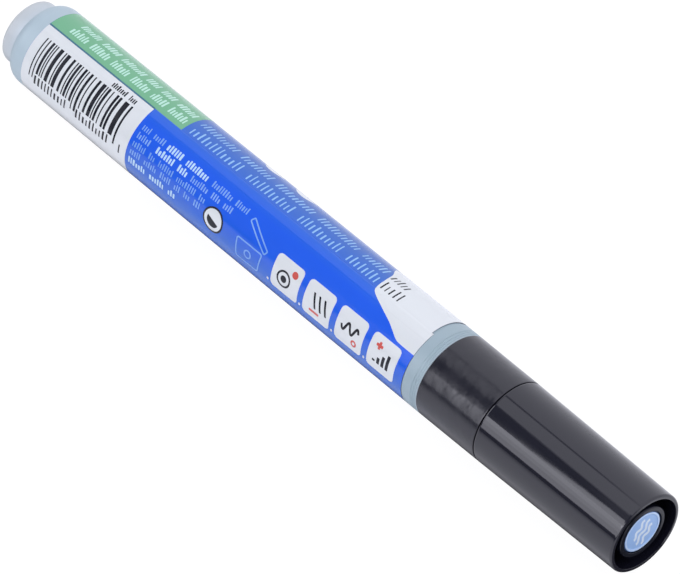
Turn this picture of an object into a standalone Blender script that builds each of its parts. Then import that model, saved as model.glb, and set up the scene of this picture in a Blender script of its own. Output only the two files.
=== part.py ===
"""Masking fluid pen: a valve-action marker lying on its side with its cap on.

Metres, +Z up. The pen's axis runs along X and the cap is at +X. The origin is on the surface
that the pen lies on, under the middle of its length.
"""
import math

import bmesh
import bpy
import numpy as np

# Lengths along the pen, from the tail to the cap
TAIL_STUB_LENGTH = 0.0031
BARREL_LENGTH = 0.0963
COLLAR_BAND_LENGTH = 0.0126
CAP_LENGTH = 0.0301

# Barrel: a slim cone with a rounded shoulder at the tail
BARREL_FRONT_RADIUS = 0.0075
BARREL_REAR_RADIUS = 0.0072
BARREL_WALL = 0.0011
BARREL_LIP_ROUND = 0.0003
SHOULDER_LENGTH = 0.0021
SHOULDER_DROP = 0.0013
REAR_WALL = 0.0026

# Tail plug
STUB_INSET = 0.0002
STUB_ROUND = 0.0009
PLUG_SEAT_WIDTH = 0.0008
PLUG_SPIGOT_LENGTH = 0.0055
PLUG_SKIRT = 0.0010
PLUG_END_WALL = 0.0016

# Wrap label, let into the barrel so that its face is flush
LABEL_REAR_SETBACK = 0.0036
LABEL_FRONT_SETBACK = 0.0036
LABEL_FILM = 0.00012
LABEL_CLEARANCE = 0.00003
LABEL_END_GAP = 0.00008

# Front collar: the dark band, its spigot in the barrel and the neck under the cap
SPIGOT_LENGTH = 0.0120
SPIGOT_CHAMFER = 0.0005
COLLAR_EDGE_ROUND = 0.00025
NECK_LENGTH = 0.0078
NECK_CHAMFER = 0.0004
SNAP_BEAD_SETBACK = 0.0033
SNAP_BEAD_WIDTH = 0.0012
SNAP_BEAD_HEIGHT = 0.00008
VALVE_SEAT_DEPTH = 0.0019

# Nose cone, pressed into the neck
NOSE_SPIGOT_RADIUS = 0.0033
NOSE_SPIGOT_LENGTH = 0.0080
NOSE_BASE_RADIUS = 0.0039
NOSE_BASE_LENGTH = 0.0028
NOSE_CONE_LENGTH = 0.0072
NOSE_END_WALL = 0.0005
NOSE_LIP_LENGTH = 0.0012

# Writing tip: the core in its ferrule, and the holder that slides in the nose
CORE_RADIUS = 0.00035
CORE_REACH = 0.0006
CORE_HEAD_LENGTH = 0.0007
FERRULE_WALL = 0.0002
FERRULE_REACH = 0.0009
HOLDER_WALL = 0.0006
HOLDER_REACH = 0.0029
HOLDER_TAPER = 0.0016
HOLDER_END_WALL = 0.00015
HOLDER_FLANGE = 0.0004
HOLDER_FLANGE_LENGTH = 0.0030

# Valve in the collar's spigot
ROD_RADIUS = 0.0009
ROD_FLOW_GAP = 0.0006
ROD_TAIL_REACH = 0.0012
POPPET_OVERLAP = 0.0009
POPPET_LENGTH = 0.0010
POPPET_CONE_LENGTH = 0.0014
SEAL_LENGTH = 0.0010
HOUSING_FLOW_GAP = 0.0011
HOUSING_WALL = 0.0011
HOUSING_FRONT_WALL = 0.0029
HOUSING_LENGTH = 0.0160
RETAINER_LENGTH = 0.0013
RETAINER_SETBACK = 0.0003
SPRING_WIRE_RADIUS = 0.00025
SPRING_PITCH = 0.0014

# Mixing ball
BALL_RADIUS = 0.0025

# Cap
CAP_MOUTH_INSET = 0.00004
CAP_TAPER = 0.00032
CAP_WALL = 0.00074
CAP_RIM_ROUND = 0.00050
CAP_RECESS_DEPTH = 0.0135
CAP_WEB = 0.0012
INNER_CAP_WALL = 0.0007
INNER_CAP_FLANGE = 0.0008
INNER_CAP_FLANGE_LENGTH = 0.0012
INNER_CAP_END_WALL = 0.0012
INNER_CAP_LIP = 0.00013
INNER_CAP_MOUTH_GAP = 0.0004
DISC_INSET = 0.00063
DISC_THICKNESS = 0.0014
DISC_RADIUS = 0.0038

# Fits
PRESS_CLEARANCE = 0.00005
RUNNING_CLEARANCE = 0.0001
SEAT_GAP = 0.0001
CAP_CLEARANCE = 0.00012

# Facets round a turned piece, multiples of four so that a flat lies at the bottom
OUTER_FACETS = 40
INNER_FACETS = 24
ROD_FACETS = 16
ARC_STEPS = 4
SPRING_POINTS_PER_TURN = 10
SMOOTH_ANGLE = math.radians(35)

# Stations along X
TOTAL_LENGTH = TAIL_STUB_LENGTH + BARREL_LENGTH + COLLAR_BAND_LENGTH + CAP_LENGTH
TAIL_X = -TOTAL_LENGTH / 2
BARREL_REAR_X = TAIL_X + TAIL_STUB_LENGTH
SHOULDER_X = BARREL_REAR_X + SHOULDER_LENGTH
LABEL_REAR_X = BARREL_REAR_X + LABEL_REAR_SETBACK
BARREL_FRONT_X = BARREL_REAR_X + BARREL_LENGTH
LABEL_FRONT_X = BARREL_FRONT_X - LABEL_FRONT_SETBACK
SEAM_X = BARREL_FRONT_X + COLLAR_BAND_LENGTH
CAP_END_X = SEAM_X + CAP_LENGTH
NECK_X = SEAM_X + NECK_LENGTH
NOSE_REAR_X = NECK_X - NOSE_SPIGOT_LENGTH
NOSE_BASE_X = NECK_X + SEAT_GAP + NOSE_BASE_LENGTH
NOSE_END_X = NOSE_BASE_X + NOSE_CONE_LENGTH
HOLDER_STOP_X = NOSE_END_X - NOSE_LIP_LENGTH - SEAT_GAP
HOLDER_REAR_X = HOLDER_STOP_X - HOLDER_FLANGE_LENGTH
HOLDER_END_X = NOSE_END_X + HOLDER_REACH
FERRULE_END_X = HOLDER_END_X + FERRULE_REACH
TIP_X = FERRULE_END_X + CORE_REACH
VALVE_STEP_X = BARREL_FRONT_X + VALVE_SEAT_DEPTH
HOUSING_FRONT_X = VALVE_STEP_X - SEAT_GAP
HOUSING_REAR_X = HOUSING_FRONT_X - HOUSING_LENGTH
SEAL_FRONT_X = HOUSING_FRONT_X - HOUSING_FRONT_WALL - SEAT_GAP
SEAL_REAR_X = SEAL_FRONT_X - SEAL_LENGTH
RETAINER_REAR_X = HOUSING_REAR_X + RETAINER_SETBACK
RETAINER_FRONT_X = RETAINER_REAR_X + RETAINER_LENGTH
ROD_REAR_X = HOUSING_REAR_X - ROD_TAIL_REACH
PLUG_FRONT_X = BARREL_REAR_X + PLUG_SPIGOT_LENGTH
DISC_X = CAP_END_X - DISC_INSET
DISC_REAR_X = DISC_X - DISC_THICKNESS
DISC_SEAT_X = DISC_REAR_X - SEAT_GAP
INNER_CAP_END_X = DISC_X + INNER_CAP_LIP
INNER_CAP_FLOOR_X = DISC_SEAT_X - INNER_CAP_END_WALL
INNER_CAP_MOUTH_X = NECK_X + INNER_CAP_MOUTH_GAP
WEB_FRONT_X = CAP_END_X - CAP_RECESS_DEPTH
WEB_REAR_X = WEB_FRONT_X - CAP_WEB
FLANGE_FRONT_X = WEB_REAR_X - SEAT_GAP
FLANGE_REAR_X = FLANGE_FRONT_X - INNER_CAP_FLANGE_LENGTH

# Radii that follow from a neighbour
CAP_MOUTH_RADIUS = BARREL_FRONT_RADIUS - CAP_MOUTH_INSET
CAP_END_RADIUS = CAP_MOUTH_RADIUS - CAP_TAPER
STEP_RADIUS = BARREL_REAR_RADIUS - SHOULDER_DROP
STUB_RADIUS = STEP_RADIUS - STUB_INSET
PLUG_BORE_RADIUS = STEP_RADIUS - PLUG_SEAT_WIDTH
PLUG_RADIUS = PLUG_BORE_RADIUS - PRESS_CLEARANCE
NOSE_BORE_RADIUS = NOSE_SPIGOT_RADIUS + PRESS_CLEARANCE
FERRULE_BORE_RADIUS = CORE_RADIUS + PRESS_CLEARANCE
FERRULE_RADIUS = FERRULE_BORE_RADIUS + FERRULE_WALL
HOLDER_BORE_RADIUS = FERRULE_RADIUS + PRESS_CLEARANCE
HOLDER_RADIUS = HOLDER_BORE_RADIUS + HOLDER_WALL
HOLDER_FLANGE_RADIUS = HOLDER_RADIUS + HOLDER_FLANGE
NOSE_GUIDE_RADIUS = HOLDER_RADIUS + RUNNING_CLEARANCE
NOSE_SLIDE_RADIUS = HOLDER_FLANGE_RADIUS + RUNNING_CLEARANCE
NOSE_END_RADIUS = NOSE_GUIDE_RADIUS + NOSE_END_WALL
ROD_HOLE_RADIUS = ROD_RADIUS + ROD_FLOW_GAP
POPPET_RADIUS = ROD_HOLE_RADIUS + POPPET_OVERLAP
HOUSING_BORE_RADIUS = POPPET_RADIUS + HOUSING_FLOW_GAP
HOUSING_RADIUS = HOUSING_BORE_RADIUS + HOUSING_WALL
VALVE_BORE_RADIUS = HOUSING_RADIUS + PRESS_CLEARANCE
VALVE_FILL_RADIUS = HOUSING_BORE_RADIUS - PRESS_CLEARANCE
SPRING_RADIUS = POPPET_RADIUS - SPRING_WIRE_RADIUS
INNER_CAP_BORE_RADIUS = NOSE_BASE_RADIUS + RUNNING_CLEARANCE
INNER_CAP_RADIUS = INNER_CAP_BORE_RADIUS + INNER_CAP_WALL
INNER_CAP_FLANGE_RADIUS = INNER_CAP_RADIUS + INNER_CAP_FLANGE
WEB_HOLE_RADIUS = INNER_CAP_RADIUS + PRESS_CLEARANCE
DISC_SEAT_RADIUS = DISC_RADIUS + PRESS_CLEARANCE

# The flats of the widest ring touch the surface
FLAT_RATIO = math.cos(math.pi / OUTER_FACETS)
AXIS_HEIGHT = max(BARREL_FRONT_RADIUS, BARREL_REAR_RADIUS, CAP_MOUTH_RADIUS) * FLAT_RATIO


def blend(x, x_start, start, x_end, end):
    """Value at x on the straight line from (x_start, start) to (x_end, end)."""
    return start + (end - start) * (x - x_start) / (x_end - x_start)


def barrel_radius(x):
    return blend(x, SHOULDER_X, BARREL_REAR_RADIUS, BARREL_FRONT_X, BARREL_FRONT_RADIUS)


def cap_radius(x):
    return blend(x, SEAM_X, CAP_MOUTH_RADIUS, CAP_END_X, CAP_END_RADIUS)


def cap_bore(x):
    return cap_radius(x) - CAP_WALL


def arc(centre_x, centre_r, width, height, start_deg, end_deg):
    """Points of an elliptic arc in the (x, r) plane, angles counted from +x towards +r."""
    angles = np.radians(np.linspace(start_deg, end_deg, ARC_STEPS + 1))
    return [(centre_x + width * math.cos(a), centre_r + height * math.sin(a)) for a in angles]


def place(piece, parent, finish):
    """Link a new object under its parent and give it its material."""
    bpy.context.scene.collection.objects.link(piece)
    piece.parent = parent
    piece.data.materials.append(finish)
    return piece


def mesh_object(name, bm, parent, finish):
    bmesh.ops.remove_doubles(bm, verts=bm.verts, dist=1e-7)
    bmesh.ops.recalc_face_normals(bm, faces=bm.faces)
    mesh = bpy.data.meshes.new(name)
    bm.to_mesh(mesh)
    bm.free()
    mesh.shade_smooth()
    mesh.set_sharp_from_angle(angle=SMOOTH_ANGLE)
    return place(bpy.data.objects.new(name, mesh), parent, finish)


def turned(name, profile, facets, parent, finish):
    """Spin an (x, r) profile round X. A profile that meets the axis stays open there."""
    half_facet = math.pi / facets
    bm = bmesh.new()
    points = [(x, r * math.cos(half_facet), r * math.sin(half_facet)) for x, r in profile]
    verts = [bm.verts.new(point) for point in points]
    pairs = list(zip(verts, verts[1:]))
    if profile[0][1] > 0:
        pairs.append((verts[-1], verts[0]))
    edges = [bm.edges.new(pair) for pair in pairs]
    bmesh.ops.spin(bm, geom=verts + edges, cent=(0, 0, 0), axis=(1, 0, 0),
                   angle=2 * math.pi, steps=facets, use_merge=True)
    return mesh_object(name, bm, parent, finish)


def material(name, colour, roughness, metallic=0.0):
    made = bpy.data.materials.new(name)
    made.use_nodes = True
    shader = made.node_tree.nodes["Principled BSDF"]
    shader.inputs["Base Color"].default_value = (*colour, 1.0)
    shader.inputs["Roughness"].default_value = roughness
    shader.inputs["Metallic"].default_value = metallic
    return made


def empty(name, parent=None, height=0.0):
    made = bpy.data.objects.new(name, None)
    made.location = (0, 0, height)
    made.parent = parent
    bpy.context.scene.collection.objects.link(made)
    return made


def make_barrel(parent):
    """Hollow cone with a rounded shoulder, a plug seat at the tail and a shallow label panel."""
    panel_rear = LABEL_REAR_X - LABEL_END_GAP
    panel_front = LABEL_FRONT_X + LABEL_END_GAP
    panel_depth = LABEL_FILM + LABEL_CLEARANCE
    lip_x = BARREL_FRONT_X - BARREL_LIP_ROUND
    bore_rear_x = BARREL_REAR_X + REAR_WALL
    profile = [(BARREL_REAR_X, PLUG_BORE_RADIUS)]
    profile += arc(SHOULDER_X, STEP_RADIUS, SHOULDER_LENGTH, SHOULDER_DROP, 180, 90)
    profile += [(panel_rear, barrel_radius(panel_rear)),
                (panel_rear, barrel_radius(panel_rear) - panel_depth),
                (panel_front, barrel_radius(panel_front) - panel_depth),
                (panel_front, barrel_radius(panel_front))]
    profile += arc(lip_x, barrel_radius(lip_x) - BARREL_LIP_ROUND,
                   BARREL_LIP_ROUND, BARREL_LIP_ROUND, 90, 0)
    profile += [(BARREL_FRONT_X, BARREL_FRONT_RADIUS - BARREL_WALL),
                (bore_rear_x, barrel_radius(bore_rear_x) - BARREL_WALL),
                (bore_rear_x, PLUG_BORE_RADIUS)]
    plastic = material("barrel_plastic", (0.40, 0.52, 0.62), 0.38)
    turned("barrel", profile, OUTER_FACETS, parent, plastic)


def make_tail_plug(parent):
    """Round-edged stub on a hollow spigot."""
    stub_front_x = BARREL_REAR_X - SEAT_GAP
    hollow_rear_x = TAIL_X + PLUG_END_WALL
    hollow_radius = PLUG_RADIUS - PLUG_SKIRT
    profile = [(TAIL_X, 0.0)]
    profile += arc(TAIL_X + STUB_ROUND, STUB_RADIUS - STUB_ROUND, STUB_ROUND, STUB_ROUND, 180, 90)
    profile += [(stub_front_x, STUB_RADIUS), (stub_front_x, PLUG_RADIUS),
                (PLUG_FRONT_X, PLUG_RADIUS), (PLUG_FRONT_X, hollow_radius),
                (hollow_rear_x, hollow_radius), (hollow_rear_x, 0.0)]
    plastic = material("tail_plastic", (0.38, 0.50, 0.60), 0.40)
    turned("tail_plug", profile, OUTER_FACETS, parent, plastic)


def make_label(parent):
    """Thin film sleeve on the barrel's panel."""
    rear, front = barrel_radius(LABEL_REAR_X), barrel_radius(LABEL_FRONT_X)
    profile = [(LABEL_REAR_X, rear - LABEL_FILM), (LABEL_REAR_X, rear),
               (LABEL_FRONT_X, front), (LABEL_FRONT_X, front - LABEL_FILM)]
    film = material("label_film", (0.03, 0.12, 0.80), 0.22)
    turned("label", profile, OUTER_FACETS, parent, film)


def make_front_collar(parent):
    """Band flush with the barrel, spigot behind it and neck with a snap bead in front."""
    spigot_x = BARREL_FRONT_X - SPIGOT_LENGTH
    band_rear_x = BARREL_FRONT_X + SEAT_GAP
    band_front_x = SEAM_X - SEAT_GAP
    edge = COLLAR_EDGE_ROUND

    def spigot_radius(x):
        return barrel_radius(x) - BARREL_WALL - PRESS_CLEARANCE

    neck_radius = cap_bore(NECK_X) - CAP_CLEARANCE
    bead_x = SEAM_X + SNAP_BEAD_SETBACK
    bead_half = SNAP_BEAD_WIDTH / 2
    nose_seat_x = NOSE_REAR_X - SEAT_GAP
    profile = [(spigot_x, VALVE_BORE_RADIUS),
               (spigot_x, spigot_radius(spigot_x) - SPIGOT_CHAMFER),
               (spigot_x + SPIGOT_CHAMFER, spigot_radius(spigot_x + SPIGOT_CHAMFER)),
               (band_rear_x, spigot_radius(BARREL_FRONT_X))]
    profile += arc(band_rear_x + edge, BARREL_FRONT_RADIUS - edge, edge, edge, 180, 90)
    profile += arc(band_front_x - edge, CAP_MOUTH_RADIUS - edge, edge, edge, 90, 0)
    profile += [(band_front_x, neck_radius),
                (bead_x - bead_half, neck_radius),
                (bead_x, neck_radius + SNAP_BEAD_HEIGHT),
                (bead_x + bead_half, neck_radius),
                (NECK_X - NECK_CHAMFER, neck_radius),
                (NECK_X, neck_radius - NECK_CHAMFER),
                (NECK_X, NOSE_BORE_RADIUS),
                (nose_seat_x, NOSE_BORE_RADIUS),
                (nose_seat_x, ROD_HOLE_RADIUS),
                (VALVE_STEP_X, ROD_HOLE_RADIUS),
                (VALVE_STEP_X, VALVE_BORE_RADIUS)]
    plastic = material("collar_plastic", (0.012, 0.012, 0.013), 0.34)
    turned("front_collar", profile, OUTER_FACETS, parent, plastic)


def make_nose_cone(parent):
    """Cone that guides the tip holder, with a round base that the inner cap closes on."""
    base_x = NECK_X + SEAT_GAP
    lip_x = NOSE_END_X - NOSE_LIP_LENGTH
    profile = [(NOSE_REAR_X, NOSE_SLIDE_RADIUS), (NOSE_REAR_X, NOSE_SPIGOT_RADIUS),
               (base_x, NOSE_SPIGOT_RADIUS), (base_x, NOSE_BASE_RADIUS),
               (NOSE_BASE_X, NOSE_BASE_RADIUS), (NOSE_END_X, NOSE_END_RADIUS),
               (NOSE_END_X, NOSE_GUIDE_RADIUS), (lip_x, NOSE_GUIDE_RADIUS),
               (lip_x, NOSE_SLIDE_RADIUS)]
    plastic = material("nose_plastic", (0.02, 0.02, 0.022), 0.40)
    turned("nose_cone", profile, INNER_FACETS, parent, plastic)


def make_tip(parent):
    """Holder with its stop flange, ferrule and writing core."""
    taper_x = HOLDER_END_X - HOLDER_TAPER
    profile = [(HOLDER_REAR_X, HOLDER_BORE_RADIUS), (HOLDER_REAR_X, HOLDER_FLANGE_RADIUS),
               (HOLDER_STOP_X, HOLDER_FLANGE_RADIUS), (HOLDER_STOP_X, HOLDER_RADIUS),
               (taper_x, HOLDER_RADIUS), (HOLDER_END_X, HOLDER_BORE_RADIUS + HOLDER_END_WALL),
               (HOLDER_END_X, HOLDER_BORE_RADIUS)]
    white = material("holder_plastic", (0.80, 0.80, 0.78), 0.35)
    turned("tip_holder", profile, ROD_FACETS, parent, white)

    ferrule_rear_x = HOLDER_REAR_X + CORE_HEAD_LENGTH + SEAT_GAP
    profile = [(ferrule_rear_x, FERRULE_BORE_RADIUS), (ferrule_rear_x, FERRULE_RADIUS),
               (FERRULE_END_X, FERRULE_RADIUS), (FERRULE_END_X, FERRULE_BORE_RADIUS)]
    steel = material("ferrule_steel", (0.62, 0.62, 0.64), 0.25, 1.0)
    turned("tip_ferrule", profile, ROD_FACETS, parent, steel)

    head_front_x = HOLDER_REAR_X + CORE_HEAD_LENGTH
    profile = [(HOLDER_REAR_X, 0.0), (HOLDER_REAR_X, FERRULE_RADIUS),
               (head_front_x, FERRULE_RADIUS), (head_front_x, CORE_RADIUS)]
    profile += arc(TIP_X - CORE_RADIUS, 0.0, CORE_RADIUS, CORE_RADIUS, 90, 0)[:-1]
    profile.append((TIP_X, 0.0))
    pin = material("core_plastic", (0.72, 0.74, 0.74), 0.45)
    turned("tip_core", profile, ROD_FACETS, parent, pin)


def make_valve(fixed, moving):
    """Housing, seal and retainer in the collar, with the sprung rod that the tip pushes back."""
    front_wall_x = HOUSING_FRONT_X - HOUSING_FRONT_WALL
    profile = [(HOUSING_REAR_X, HOUSING_BORE_RADIUS), (HOUSING_REAR_X, HOUSING_RADIUS),
               (HOUSING_FRONT_X, HOUSING_RADIUS), (HOUSING_FRONT_X, ROD_HOLE_RADIUS),
               (front_wall_x, ROD_HOLE_RADIUS), (front_wall_x, HOUSING_BORE_RADIUS)]
    white = material("housing_plastic", (0.78, 0.78, 0.76), 0.45)
    turned("valve_housing", profile, INNER_FACETS, fixed, white)

    profile = [(SEAL_REAR_X, ROD_HOLE_RADIUS), (SEAL_REAR_X, VALVE_FILL_RADIUS),
               (SEAL_FRONT_X, VALVE_FILL_RADIUS), (SEAL_FRONT_X, ROD_HOLE_RADIUS)]
    rubber = material("seal_rubber", (0.03, 0.03, 0.03), 0.70)
    turned("valve_seal", profile, INNER_FACETS, fixed, rubber)

    profile = [(RETAINER_REAR_X, ROD_HOLE_RADIUS), (RETAINER_REAR_X, VALVE_FILL_RADIUS),
               (RETAINER_FRONT_X, VALVE_FILL_RADIUS), (RETAINER_FRONT_X, ROD_HOLE_RADIUS)]
    ring = material("retainer_plastic", (0.70, 0.71, 0.72), 0.45)
    turned("spring_retainer", profile, INNER_FACETS, fixed, ring)

    seat_radius = ROD_HOLE_RADIUS - PRESS_CLEARANCE
    slope = (POPPET_RADIUS - ROD_RADIUS) / POPPET_CONE_LENGTH
    cone_front_x = SEAL_REAR_X + (seat_radius - ROD_RADIUS) / slope
    cone_rear_x = cone_front_x - POPPET_CONE_LENGTH
    poppet_rear_x = cone_rear_x - POPPET_LENGTH
    rod_front_x = HOLDER_REAR_X - SEAT_GAP
    profile = [(ROD_REAR_X, 0.0), (ROD_REAR_X, ROD_RADIUS),
               (poppet_rear_x, ROD_RADIUS), (poppet_rear_x, POPPET_RADIUS),
               (cone_rear_x, POPPET_RADIUS), (cone_front_x, ROD_RADIUS),
               (rod_front_x, ROD_RADIUS), (rod_front_x, 0.0)]
    white = material("rod_plastic", (0.75, 0.76, 0.76), 0.40)
    turned("valve_rod", profile, ROD_FACETS, moving, white)
    make_spring(RETAINER_FRONT_X, poppet_rear_x, fixed)


def make_spring(rear_x, front_x, parent):
    """Helix between the retainer and the poppet; prints its least gap to itself."""
    end_room = SPRING_WIRE_RADIUS + SEAT_GAP
    start_x = rear_x + end_room
    length = front_x - rear_x - 2 * end_room
    turns = length / SPRING_PITCH
    count = round(turns * SPRING_POINTS_PER_TURN) + 1
    angles = np.linspace(0, 2 * math.pi * turns, count)
    points = np.column_stack((start_x + length * angles / angles[-1],
                              SPRING_RADIUS * np.cos(angles),
                              SPRING_RADIUS * np.sin(angles)))
    distances = np.linalg.norm(points[:, None] - points[None], axis=2)
    index = np.arange(count)
    other_turn = np.abs(index[:, None] - index[None]) > SPRING_POINTS_PER_TURN / 2
    gap = distances[other_turn].min() - 2 * SPRING_WIRE_RADIUS
    print(f"valve_spring: {turns:.1f} turns, least gap to itself {gap * 1000:.2f} mm")

    curve = bpy.data.curves.new("valve_spring", "CURVE")
    curve.dimensions = "3D"
    curve.bevel_depth = SPRING_WIRE_RADIUS
    curve.bevel_resolution = 1
    curve.use_fill_caps = True
    spline = curve.splines.new("POLY")
    spline.points.add(count - 1)
    for point, centre in zip(spline.points, points):
        point.co = (*centre, 1.0)
    wire = material("spring_steel", (0.60, 0.60, 0.62), 0.25, 1.0)
    place(bpy.data.objects.new("valve_spring", curve), parent, wire)


def make_mixing_ball(parent):
    """Steel ball lying at the bottom of the bore, halfway along the fluid chamber."""
    rest_x = (PLUG_FRONT_X + ROD_REAR_X) / 2
    bore = (barrel_radius(rest_x) - BARREL_WALL) * FLAT_RATIO
    bm = bmesh.new()
    bmesh.ops.create_uvsphere(bm, u_segments=ROD_FACETS, v_segments=ROD_FACETS // 2,
                              radius=BALL_RADIUS)
    steel = material("ball_steel", (0.55, 0.55, 0.57), 0.20, 1.0)
    ball = mesh_object("mixing_ball", bm, parent, steel)
    ball.location = (rest_x, 0, -(bore - BALL_RADIUS - RUNNING_CLEARANCE))


def make_cap(parent):
    """Tapered sleeve with a web, the inner cap that closes on the nose, and its end disc."""
    mouth_x = SEAM_X
    rim = CAP_RIM_ROUND
    edge = COLLAR_EDGE_ROUND
    rim_x = CAP_END_X - rim
    profile = [(mouth_x, cap_bore(mouth_x))]
    profile += arc(mouth_x + edge, CAP_MOUTH_RADIUS - edge, edge, edge, 180, 90)
    profile += arc(rim_x, cap_radius(rim_x) - rim, rim, rim, 90, 0)
    profile += [(CAP_END_X, cap_bore(CAP_END_X)),
                (WEB_FRONT_X, cap_bore(WEB_FRONT_X)),
                (WEB_FRONT_X, WEB_HOLE_RADIUS),
                (WEB_REAR_X, WEB_HOLE_RADIUS),
                (WEB_REAR_X, cap_bore(WEB_REAR_X))]
    gloss = material("cap_plastic", (0.010, 0.010, 0.011), 0.16)
    turned("cap_shell", profile, OUTER_FACETS, parent, gloss)

    profile = [(INNER_CAP_FLOOR_X, 0.0),
               (INNER_CAP_FLOOR_X, INNER_CAP_BORE_RADIUS),
               (INNER_CAP_MOUTH_X, INNER_CAP_BORE_RADIUS),
               (INNER_CAP_MOUTH_X, INNER_CAP_RADIUS),
               (FLANGE_REAR_X, INNER_CAP_RADIUS),
               (FLANGE_REAR_X, INNER_CAP_FLANGE_RADIUS),
               (FLANGE_FRONT_X, INNER_CAP_FLANGE_RADIUS),
               (FLANGE_FRONT_X, INNER_CAP_RADIUS),
               (INNER_CAP_END_X, INNER_CAP_RADIUS),
               (INNER_CAP_END_X, DISC_SEAT_RADIUS),
               (DISC_SEAT_X, DISC_SEAT_RADIUS),
               (DISC_SEAT_X, 0.0)]
    dark = material("inner_cap_plastic", (0.013, 0.013, 0.014), 0.30)
    turned("inner_cap", profile, OUTER_FACETS, parent, dark)

    profile = [(DISC_REAR_X, 0.0), (DISC_REAR_X, DISC_RADIUS), (DISC_X, DISC_RADIUS), (DISC_X, 0.0)]
    blue = material("disc_plastic", (0.22, 0.38, 0.76), 0.40)
    turned("cap_disc", profile, OUTER_FACETS, parent, blue)


def main():
    for existing in list(bpy.data.objects):
        bpy.data.objects.remove(existing)
    pen = empty("pen_axis", height=AXIS_HEIGHT)
    cap = empty("cap_group", parent=pen)
    tip = empty("tip_group", parent=pen)
    valve = empty("valve_group", parent=pen)
    make_barrel(pen)
    make_tail_plug(pen)
    make_label(pen)
    make_front_collar(pen)
    make_nose_cone(pen)
    make_tip(tip)
    make_valve(pen, valve)
    make_mixing_ball(pen)
    make_cap(cap)


main()
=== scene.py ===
import math
import random

import bmesh
import bpy
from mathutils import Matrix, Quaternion, Vector


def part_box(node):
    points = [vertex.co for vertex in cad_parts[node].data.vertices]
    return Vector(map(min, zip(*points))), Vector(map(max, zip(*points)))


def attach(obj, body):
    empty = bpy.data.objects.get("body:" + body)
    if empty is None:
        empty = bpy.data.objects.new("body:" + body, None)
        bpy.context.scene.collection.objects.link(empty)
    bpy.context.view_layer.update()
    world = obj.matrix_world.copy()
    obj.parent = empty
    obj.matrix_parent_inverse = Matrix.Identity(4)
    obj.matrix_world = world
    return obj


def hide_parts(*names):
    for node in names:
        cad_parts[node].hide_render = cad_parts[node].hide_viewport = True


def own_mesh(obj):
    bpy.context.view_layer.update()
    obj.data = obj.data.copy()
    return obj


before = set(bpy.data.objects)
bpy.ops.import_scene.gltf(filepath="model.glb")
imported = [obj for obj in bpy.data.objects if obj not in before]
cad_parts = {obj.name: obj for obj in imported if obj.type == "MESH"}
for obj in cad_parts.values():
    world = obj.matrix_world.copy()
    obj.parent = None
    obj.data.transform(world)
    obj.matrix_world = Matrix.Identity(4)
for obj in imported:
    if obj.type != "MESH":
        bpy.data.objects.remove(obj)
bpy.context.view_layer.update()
print("frame loaded,", len(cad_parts), "nodes")

mm = 0.001
roundSteps = 128  # facets round the big turned pieces
innerSteps = 96
smallSteps = 64
fineSteps = 48
holdLoop = 0.05  # mm from a corner
holdFrom = 0.4  # shorter edges get no holding loop
mergeGap = 2e-4
sharpAngle = math.radians(32)


def ends(node):
    low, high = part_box(node)
    return low.x / mm, high.x / mm


# where the frame's pieces start and end along the pen, in mm
tailX, plugFrontX = ends("tail_plug")
barrelRearX, barrelFrontX = ends("barrel")
labelRearX, labelFrontX = ends("label")
spigotX, neckX = ends("front_collar")
seamX, capEndX = ends("cap_shell")
innerMouthX, innerEndX = ends("inner_cap")
discRearX, discX = ends("cap_disc")
axisHeight = sum(corner.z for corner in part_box("cap_disc")) / 2 / mm

barrelShape = {
    "rearRadius": 7.2, "frontRadius": 7.5, "wall": 1.1,
    "shoulder": 2.1, "shoulderSteps": 12, "stepRadius": 5.9, "plugBore": 5.1, "rearWall": 2.6,
    "panelDepth": 0.15, "panelGap": 0.02, "panelRound": 0.03,
    "lipRound": 0.14, "lipBack": 0.3, "lipStep": 0.3,
    "ringLines": (1.62, 1.14, 0.66), "lineDepth": 0.09, "lineHalf": 0.13,  # behind the front edge
}
shoulderX = barrelRearX + barrelShape["shoulder"]


def barrelRadius(x):
    along = (x - shoulderX) / (barrelFrontX - shoulderX)
    return barrelShape["rearRadius"] + along * (barrelShape["frontRadius"] - barrelShape["rearRadius"])


# inputs are values, or the sockets to link from
def addNode(tree, kind, inputs, **settings):
    node = tree.nodes.new("ShaderNode" + kind)
    for name, setting in settings.items():
        setattr(node, name, setting)
    for socket, given in inputs.items():
        if isinstance(given, bpy.types.NodeSocket):
            tree.links.new(given, node.inputs[socket])
        else:
            node.inputs[socket].default_value = given
    return node


def addMath(tree, operation, *inputs):
    return addNode(tree, "Math", dict(enumerate(inputs)), operation=operation).outputs[0]


def objectPlace(tree):
    return addNode(tree, "TexCoord", {}).outputs["Object"]


skinShape = {"cloudDetail": 3.0, "cloudMiddle": 0.5, "grainDetail": 2.0, "grainHeight": 0.00002,
             "glossFrom": 0.3, "glossTo": 0.7}


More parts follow.
